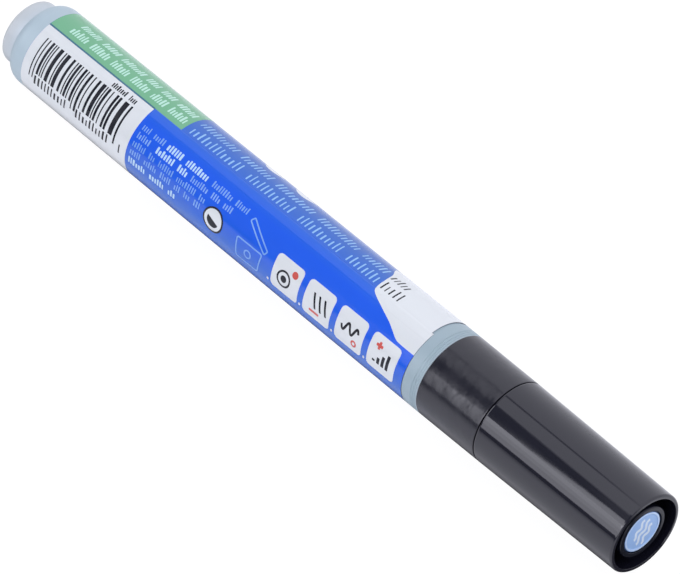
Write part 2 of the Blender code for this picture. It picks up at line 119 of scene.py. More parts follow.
# moulding marks, shared by every finish: colour drift, uneven gloss and a fine bump
def makeSkinGroup():
    shape = skinShape
    group = bpy.data.node_groups.new("mouldedSkin", "ShaderNodeTree")
    face = group.interface
    face.new_socket("Color", in_out="INPUT", socket_type="NodeSocketColor")
    for label in ("Drift", "Drift Scale", "Stretch", "Gloss Low", "Gloss High", "Grain Scale", "Grain"):
        face.new_socket(label, in_out="INPUT", socket_type="NodeSocketFloat")
    for label, kind in (("Color", "Color"), ("Roughness", "Float"), ("Normal", "Vector")):
        face.new_socket(label, in_out="OUTPUT", socket_type="NodeSocket" + kind)
    given = group.nodes.new("NodeGroupInput").outputs
    out = group.nodes.new("NodeGroupOutput").inputs
    stretch = addNode(group, "CombineXYZ", {"X": given["Stretch"], "Y": 1.0, "Z": 1.0})
    drawn = addNode(group, "VectorMath", {0: objectPlace(group), 1: stretch.outputs["Vector"]},
                    operation="MULTIPLY").outputs["Vector"]  # drawn out along the pen
    cloud = addNode(group, "TexNoise", {"Vector": drawn, "Scale": given["Drift Scale"],
                                        "Detail": shape["cloudDetail"]}).outputs["Fac"]
    grain = addNode(group, "TexNoise", {"Vector": drawn, "Scale": given["Grain Scale"],
                                        "Detail": shape["grainDetail"]}).outputs["Fac"]
    centred = addMath(group, "SUBTRACT", cloud, shape["cloudMiddle"])
    swing = addMath(group, "MULTIPLY_ADD", centred, given["Drift"], 1.0)
    tint = addNode(group, "HueSaturation", {"Value": swing, "Color": given["Color"]})
    gloss = addNode(group, "MapRange", {"Value": cloud, "From Min": shape["glossFrom"],
                                        "From Max": shape["glossTo"], "To Min": given["Gloss Low"],
                                        "To Max": given["Gloss High"]})
    bump = addNode(group, "Bump", {"Height": grain, "Strength": given["Grain"],
                                   "Distance": shape["grainHeight"]})
    group.links.new(tint.outputs["Color"], out["Color"])
    group.links.new(gloss.outputs["Result"], out["Roughness"])
    group.links.new(bump.outputs["Normal"], out["Normal"])
    return group


skinGroup = makeSkinGroup()


def addRamp(tree, value, colors, unit):
    first, last = colors[0][0], colors[-1][0]
    along = addNode(tree, "MapRange", {"Value": value, "From Min": first * unit, "From Max": last * unit})
    ramp = addNode(tree, "ValToRGB", {"Fac": along.outputs["Result"]})
    stops = ramp.color_ramp.elements
    while len(stops) < len(colors):
        stops.new(0.5)
    for stop, (at, color) in zip(stops, colors):
        stop.position = (at - first) / (last - first)
        stop.color = (*color, 1.0)
    return ramp.outputs["Color"]


# low and high are the roughness; painted light and shade, as colours along the pen or round it, take the
# plain one's place
def makeFinish(name, color, low, high, drift=0.05, driftScale=220.0, stretch=0.35, grainScale=3000.0,
               grain=0.1, metallic=0.0, ior=1.58, lengthPaintedLight=None, roundPaintedShade=None):
    finish = bpy.data.materials.new(name)
    finish.use_nodes = True
    tree = finish.node_tree
    skin = addNode(tree, "Group", {"Color": (*color, 1.0), "Drift": drift, "Drift Scale": driftScale,
                                   "Stretch": stretch, "Gloss Low": low, "Gloss High": high,
                                   "Grain Scale": grainScale, "Grain": grain}, node_tree=skinGroup)
    if lengthPaintedLight or roundPaintedShade:
        axes = addNode(tree, "SeparateXYZ", {"Vector": objectPlace(tree)}).outputs
    if lengthPaintedLight:  # mm along the pen, colour
        tree.links.new(addRamp(tree, axes["X"], lengthPaintedLight, mm), skin.inputs["Color"])
    if roundPaintedShade:  # degrees from straight up towards the near side, colour
        nearer = addMath(tree, "MULTIPLY", axes["Y"], -1.0)
        above = addMath(tree, "SUBTRACT", axes["Z"], axisHeight * mm)
        around = addMath(tree, "ARCTAN2", nearer, above)
        tree.links.new(addRamp(tree, around, roundPaintedShade, math.radians(1)), skin.inputs["Color"])
    shader = tree.nodes["Principled BSDF"]
    shader.inputs["Metallic"].default_value = metallic
    shader.inputs["IOR"].default_value = ior
    for source, socket in (("Color", "Base Color"), ("Roughness", "Roughness"), ("Normal", "Normal")):
        tree.links.new(skin.outputs[source], shader.inputs[socket])
    return finish


def makeInk(name, color, low=0.12, high=0.18, drift=0.05, ior=1.58):
    return makeFinish(name, color, low, high, drift=drift, grain=0.06, ior=ior)


finishes = {
    # painted light and shade: the barrel is lighter towards the rear shoulder, where less light falls, and
    # the lighter front lip is a painted highlight
    "barrel": makeFinish("barrelSatin", (0.31, 0.405, 0.45), 0.34, 0.46, grain=0.25,
                         lengthPaintedLight=((barrelRearX, (0.43, 0.548, 0.61)),
                                       (barrelRearX + 0.9, (0.435, 0.545, 0.60)),
                                       (labelFrontX, (0.33, 0.43, 0.475)),
                                       (barrelFrontX - 0.5, (0.32, 0.42, 0.465)),
                                       (barrelFrontX - 0.2, (0.46, 0.55, 0.60)))),
    # painted light: the tail is lighter and bluer towards its root, against the shade where the stub meets
    # the shoulder
    "tail": makeFinish("tailSatin", (0.55, 0.60, 0.62), 0.36, 0.48, grain=0.25,
                       lengthPaintedLight=((tailX, (0.55, 0.58, 0.59)), (tailX + 1.6, (0.555, 0.605, 0.63)),
                                     (barrelRearX, (0.562, 0.637, 0.687)))),
    # painted shade: the film's blue darkens towards the far side and the underside, and is brightest where
    # the front lights face it
    "film": makeFinish("filmBlue", (0.016, 0.115, 0.79), 0.08, 0.13, drift=0.03, grain=0.06,
                       roundPaintedShade=((-180, (0.012, 0.12, 0.68)), (-75, (0.015, 0.125, 0.60)),
                                    (-40, (0.018, 0.125, 0.47)), (-12, (0.016, 0.130, 0.55)),
                                    (1, (0.012, 0.122, 0.57)), (9, (0.019, 0.136, 0.70)),
                                    (26, (0.016, 0.115, 0.795)), (54, (0.014, 0.115, 0.785)),
                                    (72, (0.003, 0.113, 0.67)), (96, (0.008, 0.138, 0.60)),
                                    (180, (0.012, 0.12, 0.68)))),
    # painted shade: grey for the cut ends, the dark line along the label's edges
    "cut": makeFinish("filmCutShade", (0.16, 0.17, 0.20), 0.30, 0.40),
    "white": makeInk("inkWhite", (0.745, 0.775, 0.78), drift=0.02),
    "green": makeInk("inkGreen", (0.152, 0.445, 0.24)),
    "navy": makeInk("inkNavy", (0.022, 0.13, 0.215), 0.20, 0.30),
    "large": makeInk("inkLarge", (0.27, 0.52, 0.84)),
    "pale": makeInk("inkPale", (0.19, 0.39, 0.80), 0.20, 0.30),
    "mint": makeInk("inkMint", (0.49, 0.79, 0.65), drift=0.03),
    "bright": makeInk("inkBright", (0.48, 0.70, 0.88), 0.20, 0.30),
    "dark": makeInk("inkDark", (0.009, 0.010, 0.016), 0.22, 0.32, drift=0.10, ior=1.35),
    "red": makeInk("inkRed", (0.62, 0.08, 0.06), 0.22, 0.32, drift=0.10),
    "collar": makeFinish("collarSatin", (0.0095, 0.0095, 0.0175), 0.15, 0.24, drift=0.2, stretch=1.2,
                         driftScale=420.0, grain=3.2, grainScale=330.0),
    "cap": makeFinish("capGloss", (0.0095, 0.0095, 0.0175), 0.05, 0.085, drift=0.2, grain=0.14,
                      grainScale=600.0),
    "inner": makeFinish("innerCapSatin", (0.007, 0.008, 0.015), 0.20, 0.28, drift=0.2, grain=0.2, ior=1.36),
    "disc": makeFinish("discBlue", (0.36, 0.56, 0.90), 0.30, 0.42, drift=0.06, grain=0.2),
    "mark": makeFinish("discMark", (0.78, 0.88, 1.0), 0.30, 0.42, drift=0.03, grain=0.2),
    # painted highlight: the pale colour of the disc's raised rim ring
    "discRim": makeFinish("discRimHighlight", (0.60, 0.76, 1.0), 0.30, 0.42, drift=0.03, grain=0.2),
    # painted shade: the dark blue of the disc's thin edge
    "discEdge": makeFinish("discEdgeShade", (0.03, 0.07, 0.19), 0.30, 0.42, drift=0.06, grain=0.2),
    "nose": makeFinish("noseSatin", (0.02, 0.02, 0.022), 0.30, 0.40, drift=0.2, grain=0.3),
    "natural": makeFinish("naturalPlastic", (0.74, 0.74, 0.71), 0.36, 0.48, grain=0.25),
    "point": makeFinish("pointPlastic", (0.70, 0.72, 0.72), 0.40, 0.55, grain=0.4, grainScale=9000.0),
    "steel": makeFinish("drawnSteel", (0.62, 0.62, 0.64), 0.18, 0.32, drift=0.12, stretch=0.08,
                        grain=0.15, grainScale=5000.0, metallic=1.0),
    "ball": makeFinish("polishedSteel", (0.60, 0.60, 0.62), 0.08, 0.14, drift=0.05, metallic=1.0),
    "rubber": makeFinish("sealRubber", (0.03, 0.03, 0.03), 0.62, 0.78, drift=0.2, grain=0.4),
}
print("finishes made:", len(finishes))


def finishPiece(name, bm, finish, body, slot, *replaced):
    mesh = bpy.data.meshes.new(name)
    bm.to_mesh(mesh)
    bm.free()
    mesh.materials.append(finishes[finish])
    mesh.shade_smooth()
    mesh.set_sharp_from_angle(angle=sharpAngle)
    piece = bpy.data.objects.new(name, mesh)
    bpy.context.scene.collection.objects.link(piece)
    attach(piece, body)
    if replaced:
        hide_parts(*replaced)
    return piece


# from mm about the axis to the frame
def settle(bm):
    bmesh.ops.recalc_face_normals(bm, faces=bm.faces)
    bmesh.ops.translate(bm, vec=(0, 0, axisHeight), verts=bm.verts)
    bmesh.ops.scale(bm, vec=(mm, mm, mm), verts=bm.verts)


def roundCorners(bm, verts, offset, parts):
    return bmesh.ops.bevel(bm, geom=verts, offset=offset, offset_type="OFFSET", segments=parts,
                           profile=0.5, affect="VERTICES", material=-1)["verts"]


# rows are x, radius and the rounding of that corner, in mm; a row on the axis leaves the profile open
def turn(rows, steps=roundSteps, roundParts=5):
    bm = bmesh.new()
    corners = [bm.verts.new((x, 0, radius)) for x, radius, _ in rows]
    for pair in zip(corners, corners[1:]):
        bm.edges.new(pair)
    if rows[0][1] > 0:
        bm.edges.new((corners[-1], corners[0]))
    for corner, row in zip(corners, rows):
        if row[2] > 0:
            roundCorners(bm, [corner], row[2], roundParts)
    for edge in [edge for edge in bm.edges if edge.calc_length() > holdFrom]:
        near, far = edge.verts  # holding loops keep the long faces flat in shading
        share = holdLoop / edge.calc_length()
        if near.co.z > 0:  # none at a pole on the axis
            rest = bmesh.utils.edge_split(edge, near, share)[0]
            edge = rest if far in rest.verts else edge
        if far.co.z > 0:
            bmesh.utils.edge_split(edge, far, share)
    bmesh.ops.spin(bm, geom=bm.verts[:] + bm.edges[:], cent=(0, 0, 0), axis=(1, 0, 0),
                   angle=2 * math.pi, steps=steps, use_merge=True)
    bmesh.ops.remove_doubles(bm, verts=bm.verts, dist=mergeGap)
    settle(bm)
    return bm


def makeBarrel():
    shape = barrelShape
    rows = [(barrelRearX, shape["plugBore"], 0)]
    drop = shape["rearRadius"] - shape["stepRadius"]
    for step in range(shape["shoulderSteps"] + 1):  # quarter ellipse of the shoulder
        angle = math.radians(180 - 90 * step / shape["shoulderSteps"])
        rows.append((shoulderX + shape["shoulder"] * math.cos(angle),
                     shape["stepRadius"] + drop * math.sin(angle), 0))
    rear, front = labelRearX - shape["panelGap"], labelFrontX + shape["panelGap"]
    rows += [(rear, barrelRadius(rear), shape["panelRound"]),
             (rear, barrelRadius(rear) - shape["panelDepth"], 0),
             (front, barrelRadius(front) - shape["panelDepth"], 0),
             (front, barrelRadius(front), shape["panelRound"])]
    for back in shape["ringLines"]:
        x = barrelFrontX - back
        rows += [(x - shape["lineHalf"], barrelRadius(x), 0),
                 (x, barrelRadius(x) - shape["lineDepth"], 0),
                 (x + shape["lineHalf"], barrelRadius(x), 0)]
    bore = barrelRearX + shape["rearWall"]
    lip, step = barrelFrontX - shape["lipBack"], shape["frontRadius"] - shape["lipStep"]
    rows += [(lip, shape["frontRadius"], shape["lipRound"]), (lip, step, 0), (barrelFrontX, step, 0),
             (barrelFrontX, shape["frontRadius"] - shape["wall"], 0),
             (bore, barrelRadius(bore) - shape["wall"], 0), (bore, shape["plugBore"], 0)]
    finishPiece("barrel_shell", turn(rows), "barrel", "barrel", "barrel_plastic", "barrel")


tailShape = {"radius": 5.7, "round": 0.9, "flareRadius": 5.93, "flare": 0.75, "flareRound": 0.7,
             "flareEdge": 0.01, "seat": 0.02, "spigotRadius": 5.05, "spigotRound": 0.15,
             "bore": 4.05, "boreRound": 0.3, "endWall": 1.6}


def makeTail():
    shape = tailShape
    seat = barrelRearX - shape["seat"]
    rows = [(tailX, 0, 0), (tailX, shape["radius"], shape["round"]),
            (seat - shape["flare"], shape["radius"], shape["flareRound"]),
            (seat, shape["flareRadius"], shape["flareEdge"]), (seat, shape["spigotRadius"], 0),
            (plugFrontX, shape["spigotRadius"], shape["spigotRound"]), (plugFrontX, shape["bore"], 0),
            (tailX + shape["endWall"], shape["bore"], shape["boreRound"]), (tailX + shape["endWall"], 0, 0)]
    finishPiece("tail_stub", turn(rows), "tail", "barrel", "barrel_plastic", "tail_plug")


collarShape = {"valveBore": 4.65, "spigotGap": 0.05, "spigotRound": 0.5, "seat": 0.03, "frontSeat": 0.2,
               "rearEdge": 0.06, "frontEdge": 0.12, "mouthRadius": 7.46,
               "neckRadius": 6.515, "neckFoot": 0.1, "neckRound": 0.4,
               "beadX": 3.3, "beadHalf": 0.6, "bead": 0.08, "beadFoot": 0.2, "beadRound": 0.3,
               "noseBore": 3.35, "noseEdge": 0.1, "noseDepth": 8.1, "rodHole": 1.5, "valveStep": 1.9}


def makeCollar():
    shape = collarShape

    def spigotRadius(x):
        return barrelRadius(x) - barrelShape["wall"] - shape["spigotGap"]

    rear, front = barrelFrontX + shape["seat"], seamX - shape["frontSeat"]
    skirt = barrelFrontX - barrelShape["lipBack"] + shape["seat"]  # laps over the step in the barrel's lip
    skirtBore = barrelShape["frontRadius"] - barrelShape["lipStep"] + shape["seat"]
    bead, neck = seamX + shape["beadX"], shape["neckRadius"]
    rows = [(spigotX, shape["valveBore"], 0), (spigotX, spigotRadius(spigotX), shape["spigotRound"]),
            (rear, spigotRadius(barrelFrontX), 0), (rear, skirtBore, 0), (skirt, skirtBore, 0),
            (skirt, barrelShape["frontRadius"], shape["rearEdge"]),
            (front, shape["mouthRadius"], shape["frontEdge"]), (front, neck, shape["neckFoot"]),
            (bead - shape["beadHalf"], neck, shape["beadFoot"]),
            (bead, neck + shape["bead"], shape["beadRound"]),
            (bead + shape["beadHalf"], neck, shape["beadFoot"]), (neckX, neck, shape["neckRound"]),
            (neckX, shape["noseBore"], shape["noseEdge"]),
            (neckX - shape["noseDepth"], shape["noseBore"], 0),
            (neckX - shape["noseDepth"], shape["rodHole"], 0),
            (barrelFrontX + shape["valveStep"], shape["rodHole"], 0),
            (barrelFrontX + shape["valveStep"], shape["valveBore"], 0)]
    finishPiece("collar_band", turn(rows), "collar", "barrel", "collar_plastic", "front_collar")


capShape = {"mouthRadius": 7.46, "endRadius": 7.14, "wall": 0.74, "mouthDrop": 0.05, "mouthSlope": 0.19,
            "mouthInner": 0.08, "mouthRound": 0.04, "rim": 0.38, "rimInner": 0.1, "recess": 13.5,
            "web": 1.2, "webHole": 4.75, "webRound": 0.4}


def makeCap():
    shape = capShape

    def boreRadius(x):
        along = (x - seamX) / (capEndX - seamX)
        return shape["mouthRadius"] + along * (shape["endRadius"] - shape["mouthRadius"]) - shape["wall"]

    webFront = capEndX - shape["recess"]
    webRear = webFront - shape["web"]
    rows = [(seamX, boreRadius(seamX), shape["mouthInner"]),
            (seamX, shape["mouthRadius"] - shape["mouthDrop"], shape["mouthRound"]),
            (seamX + shape["mouthSlope"], shape["mouthRadius"], 0),
            (capEndX, shape["endRadius"], shape["rim"]), (capEndX, boreRadius(capEndX), shape["rimInner"]),
            (webFront, boreRadius(webFront), shape["webRound"]), (webFront, shape["webHole"], 0),
            (webRear, shape["webHole"], 0), (webRear, boreRadius(webRear), shape["webRound"])]
    finishPiece("cap_sleeve", turn(rows), "cap", "cap", "cap_plastic", "cap_shell")


innerShape = {"radius": 4.7, "bore": 4.0, "floorRound": 0.4, "mouthRound": 0.15, "flangeRadius": 5.5,
              "flange": 1.2, "flangeFoot": 0.1, "flangeRound": 0.15, "flangeEdge": 0.05, "seatGap": 0.1,
              "endWall": 1.2, "endRound": 0.3, "discSeat": 3.85, "seatEdge": 0.1}


def makeInnerCap():
    shape = innerShape
    flangeFront = capEndX - capShape["recess"] - capShape["web"] - shape["seatGap"]
    flangeRear = flangeFront - shape["flange"]
    seat = discRearX - shape["seatGap"]
    floor = seat - shape["endWall"]
    rows = [(floor, 0, 0), (floor, shape["bore"], shape["floorRound"]),
            (innerMouthX, shape["bore"], shape["mouthRound"]),
            (innerMouthX, shape["radius"], shape["mouthRound"]),
            (flangeRear, shape["radius"], shape["flangeFoot"]),
            (flangeRear, shape["flangeRadius"], shape["flangeRound"]),
            (flangeFront, shape["flangeRadius"], shape["flangeEdge"]), (flangeFront, shape["radius"], 0),
            (innerEndX, shape["radius"], shape["endRound"]),
            (innerEndX, shape["discSeat"], shape["seatEdge"]), (seat, shape["discSeat"], 0), (seat, 0, 0)]
    finishPiece("inner_tube", turn(rows, innerSteps), "inner", "cap", "cap_plastic", "inner_cap")


discShape = {"radius": 3.8, "rearEdge": 0.1, "edge": 0.25, "edgeFrom": 3.6,
             "rimRadius": 3.3, "rimRound": 0.08, "dish": 0.1, "dishSlope": 0.12}


def makeDisc():
    shape = discShape
    dishX = discX - shape["dish"]
    rows = [(discRearX, 0, 0), (discRearX, shape["radius"], shape["rearEdge"]),
            (discX, shape["radius"], shape["edge"]), (discX, shape["rimRadius"], shape["rimRound"]),
            (dishX, shape["rimRadius"] - shape["dishSlope"], shape["rimRound"]), (dishX, 0, 0)]
    bm = turn(rows, innerSteps)
    # painted shade: faces near the disc's edge get the dark blue edge finish
    for face in bm.faces:  # the thin edge looks darker than the face
        middle = face.calc_center_median() / mm
        face.material_index = 1 if math.hypot(middle.y, middle.z - axisHeight) > shape["edgeFrom"] else 0
    disc = finishPiece("end_disc", bm, "disc", "cap", "disc_plastic", "cap_disc")
    disc.data.materials.append(finishes["discEdge"])


noseShape = {"spigotRadius": 3.3, "spigotRound": 0.2, "seat": 0.1, "baseRadius": 3.9, "base": 2.8,
             "baseFoot": 0.15, "baseRound": 0.6, "endRadius": 1.85, "endRound": 0.25,
             "guide": 1.35, "guideEdge": 0.1, "slide": 1.75, "lip": 1.2}
tipShape = {"holderRadius": 1.25, "holderBore": 0.65, "flangeRadius": 1.65, "flange": 3.0,
            "flangeRound": 0.15, "taper": 1.6, "taperRound": 0.3, "endRadius": 0.8, "endRound": 0.06,
            "ferruleRadius": 0.6, "ferruleFoot": 0.05, "ferruleRound": 0.08,
            "ferruleBore": 0.4, "ferruleEdge": 0.04,
            "coreRadius": 0.35, "coreHead": 0.7, "headRound": 0.05, "pointRound": 0.3}


def makeNoseAndTip():
    shape = noseShape
    rear, end = ends("nose_cone")
    base = neckX + shape["seat"]
    rows = [(rear, shape["slide"], 0), (rear, shape["spigotRadius"], shape["spigotRound"]),
            (base, shape["spigotRadius"], 0), (base, shape["baseRadius"], shape["baseFoot"]),
            (base + shape["base"], shape["baseRadius"], shape["baseRound"]),
            (end, shape["endRadius"], shape["endRound"]), (end, shape["guide"], shape["guideEdge"]),
            (end - shape["lip"], shape["guide"], 0), (end - shape["lip"], shape["slide"], 0)]
    finishPiece("nose_guide", turn(rows, smallSteps), "nose", "barrel", "collar_plastic", "nose_cone")
    shape = tipShape
    rear, end = ends("tip_holder")
    stop = rear + shape["flange"]
    rows = [(rear, shape["holderBore"], 0), (rear, shape["flangeRadius"], shape["flangeRound"]),
            (stop, shape["flangeRadius"], shape["flangeRound"]), (stop, shape["holderRadius"], 0),
            (end - shape["taper"], shape["holderRadius"], shape["taperRound"]),
            (end, shape["endRadius"], shape["endRound"]), (end, shape["holderBore"], 0)]
    finishPiece("tip_slider", turn(rows, smallSteps), "natural", "tip", "white_plastic", "tip_holder")
    rear, end = ends("tip_ferrule")
    rows = [(rear, shape["ferruleBore"], 0), (rear, shape["ferruleRadius"], shape["ferruleFoot"]),
            (end, shape["ferruleRadius"], shape["ferruleRound"]),
            (end, shape["ferruleBore"], shape["ferruleEdge"])]
    finishPiece("tip_tube", turn(rows, fineSteps), "steel", "tip", "steel", "tip_ferrule")
    rear, end = ends("tip_core")
    head = rear + shape["coreHead"]
    rows = [(rear, 0, 0), (rear, shape["ferruleRadius"], shape["headRound"]),
            (head, shape["ferruleRadius"], shape["headRound"]), (head, shape["coreRadius"], 0),
            (end, shape["coreRadius"], shape["pointRound"]), (end, 0, 0)]
    finishPiece("tip_point", turn(rows, fineSteps), "point", "tip", "core_plastic", "tip_core")


coilShape = {"wire": 0.25, "radius": 2.15, "pitch": 1.4, "wireSides": 12, "turnSteps": 32}


def makeCoil():
    shape = coilShape
    rear, front = ends("valve_spring")
    first = rear + shape["wire"]
    length = front - shape["wire"] - first
    turns = length / shape["pitch"]
    steps = round(turns * shape["turnSteps"])
    bm = bmesh.new()
    bmesh.ops.create_circle(bm, radius=shape["wire"], segments=shape["wireSides"])
    bmesh.ops.translate(bm, vec=(first, shape["radius"], 0), verts=bm.verts)
    bmesh.ops.spin(bm, geom=bm.verts[:] + bm.edges[:], cent=(0, 0, 0), axis=(1, 0, 0),
                   dvec=(length / steps, 0, 0), angle=2 * math.pi * turns, steps=steps)
    bmesh.ops.holes_fill(bm, edges=[edge for edge in bm.edges if edge.is_boundary])
    settle(bm)
    coil = finishPiece("valve_coil", bm, "steel", "barrel", "steel", "valve_spring")
    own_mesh(coil)


makeBarrel()
makeTail()
makeCollar()
makeCap()
makeInnerCap()
makeDisc()
makeNoseAndTip()
makeCoil()
print("turned pieces made")

innerFinishes = {"valve_housing": "natural", "valve_seal": "rubber", "spring_retainer": "natural",
                 "valve_rod": "natural", "mixing_ball": "ball"}
for node, finish in innerFinishes.items():
    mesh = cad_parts[node].data
    mesh.materials.clear()
    mesh.materials.append(finishes[finish])
print("inner nodes finished")

# print shapes are drawn flat in mm: along the label from its rear edge, and round it from the
# top towards the near side; then they get thickness and are bent on to the barrel
wrapShape = {"film": 0.12, "overlapFrom": 0.70, "overlapTo": 2.48, "overlapRise": 0.018, "overlapEdge": 0.1,
             "endGap": 0.02, "shortEdge": 0.45, "slice": 0.36, "cutTouch": 1e-6}


def overlapRise(around):
    shape = wrapShape
    inside = min(around - shape["overlapFrom"], shape["overlapTo"] - around) / shape["overlapEdge"]
    return shape["overlapRise"] * max(0.0, min(1.0, inside))


def sliceRound(bm, low, high):
    shape = wrapShape
    first, last = math.ceil(low / shape["slice"]), math.ceil(high / shape["slice"])
    cuts = [shape["slice"] * step for step in range(first, last)]
    cuts += [shape["overlapFrom"], shape["overlapFrom"] + shape["overlapEdge"],
             shape["overlapTo"], shape["overlapTo"] - shape["overlapEdge"]]
    for cut in cuts:
        if low < cut < high:
            bmesh.ops.bisect_plane(bm, geom=bm.verts[:] + bm.edges[:] + bm.faces[:],
                                   dist=shape["cutTouch"], plane_co=(0, cut, 0), plane_no=(0, 1, 0))


labelRadius = barrelRadius((labelRearX + labelFrontX) / 2)
labelLength, labelGirth = labelFrontX - labelRearX, 2 * math.pi * labelRadius


def bendOnLabel(bm):
    for vert in bm.verts:
        along, around, lift = vert.co
        x = labelRearX + along
        angle = around / labelRadius
        radius = barrelRadius(x) + lift + overlapRise(around)
        vert.co = Vector((x, -radius * math.sin(angle), radius * math.cos(angle) + axisHeight)) * mm
    bmesh.ops.reverse_faces(bm, faces=bm.faces)  # the bend mirrors the sheet


def filmEdge(around):
    turned = (around - wrapShape["overlapFrom"]) % labelGirth
    return labelLength - wrapShape["shortEdge"] * turned / labelGirth


def makeFilm():
    shape = wrapShape
    length, girth = labelLength, labelGirth
    middle = girth / 2 + shape["overlapFrom"] + shape["endGap"] / 2
    bm = bmesh.new()
    bmesh.ops.create_grid(bm, x_segments=1, y_segments=1, size=0.5)
    bmesh.ops.scale(bm, vec=(length, girth - shape["endGap"], 1), verts=bm.verts)
    bmesh.ops.translate(bm, vec=(length / 2, middle, 0), verts=bm.verts)
    for vert in bm.verts:  # the far end of the wrap is cut a little short
        if vert.co.x > length / 2 and vert.co.y > girth / 2:
            vert.co.x -= shape["shortEdge"]
    sliceRound(bm, shape["overlapFrom"], girth + shape["overlapFrom"])
    thicken(bm, 0.0, shape["film"])
    for face in bm.faces:  # painted shade: the cut ends are coloured grey for the dark line along the label's edges
        face.material_index = 1 if abs(face.normal.x) > 0.5 else 0
    bendOnLabel(bm)
    wrap = finishPiece("label_wrap", bm, "film", "barrel", "label_film", "label")
    wrap.data.materials.append(finishes["cut"])


def thicken(bm, lift, depth):
    bmesh.ops.recalc_face_normals(bm, faces=bm.faces)
    made = bmesh.ops.extrude_face_region(bm, geom=bm.faces[:], use_keep_orig=True)["geom"]
    moved = [item for item in made if isinstance(item, bmesh.types.BMVert)]
    bmesh.ops.translate(bm, vec=(0, 0, lift), verts=bm.verts)
    bmesh.ops.translate(bm, vec=(0, 0, -depth), verts=moved)
    bmesh.ops.recalc_face_normals(bm, faces=bm.faces)


# lifts differ, so that inks that cross stay apart
inkShape = {"lifts": {"field": 0.010, "flat": 0.012, "line": 0.014, "shade": 0.015, "mark": 0.016,
                      "band": 0.017},
            "sink": 0.02, "cornerParts": 3, "frameParts": 4, "discSides": 28}


def addPatch(bm, spots):
    return bm.faces.new([bm.verts.new((x, y, 0)) for x, y in spots])


def addBox(bm, along, around, corner=0.0, slant=0.0):
    face = addPatch(bm, ((along[0], around[0]), (along[1], around[0]),
                         (along[1] + slant, around[1]), (along[0] + slant, around[1])))
    if corner > 0:
        roundCorners(bm, face.verts[:], corner, inkShape["cornerParts"])


def addDisc(bm, along, around, radius, hole=0.0, stretch=1.0):
    made = bmesh.ops.create_circle(bm, cap_ends=True, radius=radius, segments=inkShape["discSides"])["verts"]
    bmesh.ops.scale(bm, vec=(1, stretch, 1), verts=made)
    bmesh.ops.translate(bm, vec=(along, around, 0), verts=made)
    if hole > 0:
        face = next(face for face in made[0].link_faces if len(face.verts) == len(made))
        bmesh.ops.inset_region(bm, faces=[face], thickness=radius - hole, use_boundary=True,
                               use_even_offset=True)
        bmesh.ops.delete(bm, geom=[face], context="FACES")


def addStroke(bm, spots, weight):
    verts = [bm.verts.new((x, y, 0)) for x, y in spots]
    edges = [bm.edges.new(pair) for pair in zip(verts, verts[1:])]
    bmesh.ops.extrude_edge_only(bm, edges=edges)
    for index, vert in enumerate(verts):
        before, after = spots[max(index - 1, 0)], spots[min(index + 1, len(spots) - 1)]
        side = (Vector(after) - Vector(before)).normalized().orthogonal() * weight / 2
        twin = next(edge.other_vert(vert) for edge in vert.link_edges if edge.other_vert(vert) not in verts)
        twin.co = Vector((*(Vector(spots[index]) + side), 0))
        vert.co = Vector((*(Vector(spots[index]) - side), 0))


def layInk(name, bm, finish, layer):
    rounds = [vert.co.y for vert in bm.verts]
    sliceRound(bm, min(rounds), max(rounds))
    lift = inkShape["lifts"][layer]
    thicken(bm, lift, lift + inkShape["sink"])
    bendOnLabel(bm)
    finishPiece(name, bm, finish, "barrel", "label_film")


makeFilm()

fieldShape = {
    "rearPanel": ((0.02, 24.9), (0.95, 22.5)), "greenBand": ((0.02, 31.1), (-12.0, 0.80)),
    "seamLine": ((0.02, 24.95), (0.69, 1.0)),
    "frontCurve": ((74.0, -6.0), (74.5, -4.8), (75.4, -3.4), (75.75, -1.6), (75.85, -0.4), (75.95, 0.5),
                   (76.25, 1.22), (77.2, 1.78), (79.65, 2.72), (82.0, 3.6), (83.5, 4.33), (84.75, 4.98),
                   (85.9, 5.18), (89.0, 5.2)),
    "frontMiddle": -6.0, "frontInset": 0.004,
    "farDots": ((45.7, -7.6, 2.4), (53.0, -7.3, 2.4), (38.4, -9.6, 1.7), (60.4, -9.6, 1.7),
                (32.6, -10.4, 1.1), (66.2, -10.4, 1.1)),
    "squares": (59.1, 66.4, 73.75, 81.1), "squareSize": 6.02, "squareAround": (5.74, 11.95),
    "squareRound": 0.75, "dotBack": 0.65, "dotUp": 0.6, "dotRadius": 0.2, "dotStretch": 1.4,
}


# a cubic through each pair of spots, smooth where they meet
def smoothCurve(spots, parts=4):
    line = []
    for index in range(len(spots) - 1):
        a, b, c, d = (Vector(spots[min(max(index + k, 0), len(spots) - 1)]) for k in (-1, 0, 1, 2))
        for part in range(parts):
            t = part / parts
            line.append(0.5 * (2 * b + (c - a) * t + (2 * a - 5 * b + 4 * c - d) * t ** 2
                               + (3 * b - a - 3 * c + d) * t ** 3))
    return [(spot.x, spot.y) for spot in line] + [spots[-1]]


def makeFields():
    shape = fieldShape
    bm = bmesh.new()
    addBox(bm, *shape["rearPanel"])
    near = smoothCurve(shape["frontCurve"])
    far = [(x, 2 * shape["frontMiddle"] - y) for x, y in near[1:]]
    seam, gap = wrapShape["overlapFrom"], wrapShape["endGap"] / 2
    front = [near[-1][1], seam + gap, seam - gap, far[-1][1]]
    edge = [(filmEdge(around) - shape["frontInset"], around) for around in front]
    addPatch(bm, near + edge + far[::-1])
    for along, around, radius in shape["farDots"]:
        addDisc(bm, along, around, radius)
    layInk("print_white_fields", bm, "white", "field")
    bm = bmesh.new()
    addBox(bm, *shape["greenBand"])
    layInk("print_green_band", bm, "green", "flat")
    bm = bmesh.new()
    addBox(bm, *shape["seamLine"])
    layInk("print_seam_line", bm, "navy", "line")
    bm = bmesh.new()
    for along in shape["squares"]:
        addBox(bm, (along, along + shape["squareSize"]), shape["squareAround"], corner=shape["squareRound"])
        addDisc(bm, along - shape["dotBack"], shape["squareAround"][1] - shape["dotUp"], shape["dotRadius"],
                stretch=shape["dotStretch"])
    layInk("print_white_squares", bm, "white", "flat")


makeFields()
print("label wrapped and fields printed")

